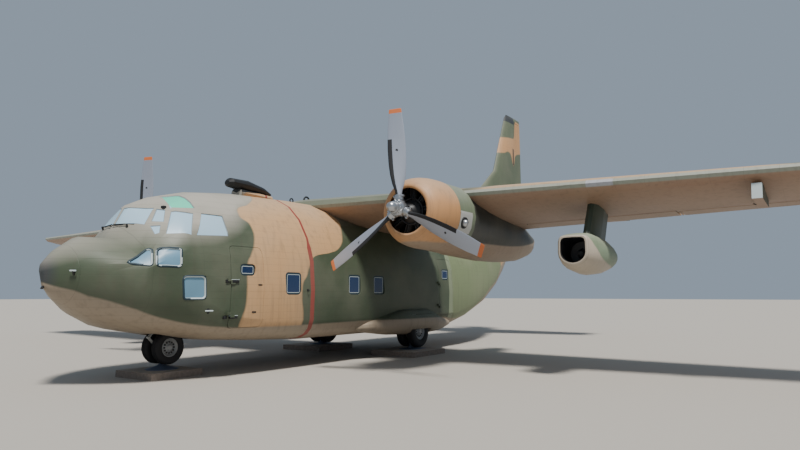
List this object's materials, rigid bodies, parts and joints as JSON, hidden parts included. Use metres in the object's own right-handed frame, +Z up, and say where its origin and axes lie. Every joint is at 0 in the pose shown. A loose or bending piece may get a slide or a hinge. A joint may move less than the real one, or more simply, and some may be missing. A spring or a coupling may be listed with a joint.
{
  "type": "military transport plane",
  "caption": "High-wing military cargo aircraft with piston engines, underwing jet pods, tail ramp and tall fin, on display plinths.",
  "frame": {"origin": "on the ground, at the middle of the bounding box in plan", "axes": "+X towards the port wing tip, -Y towards the nose, +Z up"},
  "size_m": [33.52, 23.2811, 10.44],
  "materials": {
    "paint_green": "matt",
    "paint_dark_green": "matt",
    "paint_tan": "matt",
    "paint_grey": "matt",
    "paint_black": "matt",
    "engine_metal": "sooty",
    "bare_metal": "satin",
    "leg_steel": "satin",
    "tyre_rubber": "weathered",
    "window_glass": "painted over, dull",
    "concrete": "cast, with a painted steel pedestal"
  },
  "bodies": {
    "airframe": {"nose_cap": "paint_green", "cockpit_section": "paint_green", "cockpit_glazing": "window_glass", "hold_front": "paint_green", "hold_rear": "paint_green", "tail_section": "paint_green", "fin": "paint_green", "tailplane": "paint_green", "centre_wing": "paint_green", "roof_fairing": "paint_black", "nose_leg": "leg_steel", "wing_left": "paint_green", "nacelle_left": "paint_dark_green", "cowl_left": "paint_tan", "engine_left": "engine_metal", "jet_pod_left": "paint_dark_green", "jet_engine_left": "engine_metal", "jet_pylon_left": "paint_dark_green", "gear_fairing_left": "paint_grey", "main_leg_left": "leg_steel", "plinth_left": "concrete", "wing_right": "paint_green", "nacelle_right": "paint_dark_green", "cowl_right": "paint_tan", "engine_right": "engine_metal", "jet_pod_right": "paint_dark_green", "jet_engine_right": "engine_metal", "jet_pylon_right": "paint_dark_green", "gear_fairing_right": "paint_grey", "main_leg_right": "leg_steel", "plinth_right": "concrete", "plinth_nose": "concrete"},
    "nose_steering": {"nose_fork": "leg_steel"},
    "nose_wheel_set": {"nose_wheels": "bare_metal", "nose_tyre_left": "tyre_rubber", "nose_tyre_right": "tyre_rubber"},
    "main_wheel_set_left": {"main_left_wheels": "bare_metal", "main_left_tyre_left": "tyre_rubber", "main_left_tyre_right": "tyre_rubber"},
    "main_wheel_set_right": {"main_right_wheels": "bare_metal", "main_right_tyre_left": "tyre_rubber", "main_right_tyre_right": "tyre_rubber"},
    "propeller_left": {"propeller_left": "bare_metal"},
    "propeller_right": {"propeller_right": "bare_metal"},
    "flap_inner_left": {"flap_inner_left": "paint_dark_green"},
    "flap_inner_right": {"flap_inner_right": "paint_dark_green"},
    "flap_outer_left": {"flap_outer_left": "paint_dark_green"},
    "flap_outer_right": {"flap_outer_right": "paint_dark_green"},
    "aileron_left": {"aileron_left": "paint_green"},
    "aileron_right": {"aileron_right": "paint_green"},
    "rudder": {"rudder": "paint_tan"},
    "elevators": {"elevator_left": "paint_green", "elevator_right": "paint_green"},
    "ramp": {"ramp": "paint_grey"},
    "cargo_door": {"cargo_door": "paint_grey"},
    "crew_door": {"crew_door": "paint_green"},
    "jump_door_left": {"jump_door_left": "paint_dark_green"},
    "jump_door_right": {"jump_door_right": "paint_dark_green"}
  },
  "joints": [
    {"name": "nose_steer", "type": "hinge", "parent": "airframe", "child": "nose_steering", "pos_m": [0, -8.8705, 0.85], "axis": [0, 0, 1], "range_deg": [-60, 60]},
    {"name": "nose_wheels_spin", "type": "hinge", "parent": "nose_steering", "child": "nose_wheel_set", "pos_m": [0, -8.8705, 0.63], "axis": [1, 0, 0], "continuous": true},
    {"name": "main_wheels_left_spin", "type": "hinge", "parent": "airframe", "child": "main_wheel_set_left", "pos_m": [1.795, -1.3305, 0.68], "axis": [1, 0, 0], "continuous": true},
    {"name": "main_wheels_right_spin", "type": "hinge", "parent": "airframe", "child": "main_wheel_set_right", "pos_m": [-1.795, -1.3305, 0.68], "axis": [1, 0, 0], "continuous": true},
    {"name": "propeller_left_spin", "type": "hinge", "parent": "airframe", "child": "propeller_left", "pos_m": [4.638, -6.2955, 3.698], "axis": [0, 1, 0], "continuous": true},
    {"name": "propeller_right_spin", "type": "hinge", "parent": "airframe", "child": "propeller_right", "pos_m": [-4.638, -6.2955, 3.698], "axis": [0, 1, 0], "continuous": true},
    {"name": "flap_inner_left_hinge", "type": "hinge", "parent": "airframe", "child": "flap_inner_left", "pos_m": [1.965, -1.36007, 3.81217], "axis": [-0.9997, 0.0208, -0.0138], "range_deg": [0, 45]},
    {"name": "flap_inner_right_hinge", "type": "hinge", "parent": "airframe", "child": "flap_inner_right", "pos_m": [-1.965, -1.36007, 3.81217], "axis": [-0.9997, -0.0208, 0.0138], "range_deg": [0, 45]},
    {"name": "flap_outer_left_hinge", "type": "hinge", "parent": "airframe", "child": "flap_outer_left", "pos_m": [5.66, -1.4371, 3.86333], "axis": [-0.9997, 0.0208, -0.0139], "range_deg": [0, 45]},
    {"name": "flap_outer_right_hinge", "type": "hinge", "parent": "airframe", "child": "flap_outer_right", "pos_m": [-5.66, -1.4371, 3.86333], "axis": [-0.9997, -0.0208, 0.0139], "range_deg": [0, 45]},
    {"name": "aileron_left_hinge", "type": "hinge", "parent": "airframe", "child": "aileron_left", "pos_m": [9.57, -1.42487, 3.90227], "axis": [-0.9996, 0.0255, -0.0147], "range_deg": [-20, 20]},
    {"name": "aileron_right_hinge", "type": "hinge", "parent": "airframe", "child": "aileron_right", "pos_m": [-9.57, -1.42487, 3.90227], "axis": [-0.9996, -0.0255, 0.0147], "range_deg": [-20, 20]},
    {"name": "rudder_hinge", "type": "hinge", "parent": "airframe", "child": "rudder", "pos_m": [0, 10.0595, 4.96], "axis": [0, 0.1194, 0.9928], "range_deg": [-25, 25]},
    {"name": "elevator_hinge", "type": "hinge", "parent": "airframe", "child": "elevators", "pos_m": [0, 9.4595, 4.95], "axis": [-1, 0, 0], "range_deg": [-25, 25]},
    {"name": "ramp_hinge", "type": "hinge", "parent": "airframe", "child": "ramp", "pos_m": [0, 1.3195, 0.6833], "axis": [-1, 0, 0], "range_deg": [0, 26]},
    {"name": "cargo_door_hinge", "type": "hinge", "parent": "airframe", "child": "cargo_door", "pos_m": [0, 7.2595, 2.9], "axis": [-1, 0, 0], "range_deg": [0, 30]},
    {"name": "crew_door_hinge", "type": "hinge", "parent": "airframe", "child": "crew_door", "pos_m": [1.815, -8.5345, 1.7], "axis": [0, 0, -1], "range_deg": [0, 95]},
    {"name": "jump_door_left_hinge", "type": "hinge", "parent": "airframe", "child": "jump_door_left", "pos_m": [1.888, 0.1955, 1.8], "axis": [0, 0, -1], "range_deg": [0, 95]},
    {"name": "jump_door_right_hinge", "type": "hinge", "parent": "airframe", "child": "jump_door_right", "pos_m": [-1.888, 0.1955, 1.8], "axis": [0, 0, 1], "range_deg": [0, 95]}
  ],
  "couplings": [
    {"joint": "flap_outer_right_hinge", "follows": "flap_outer_left_hinge", "ratio": 1},
    {"joint": "flap_inner_left_hinge", "follows": "flap_outer_left_hinge", "ratio": 1},
    {"joint": "flap_inner_right_hinge", "follows": "flap_outer_left_hinge", "ratio": 1},
    {"joint": "aileron_right_hinge", "follows": "aileron_left_hinge", "ratio": -1}
  ]
}
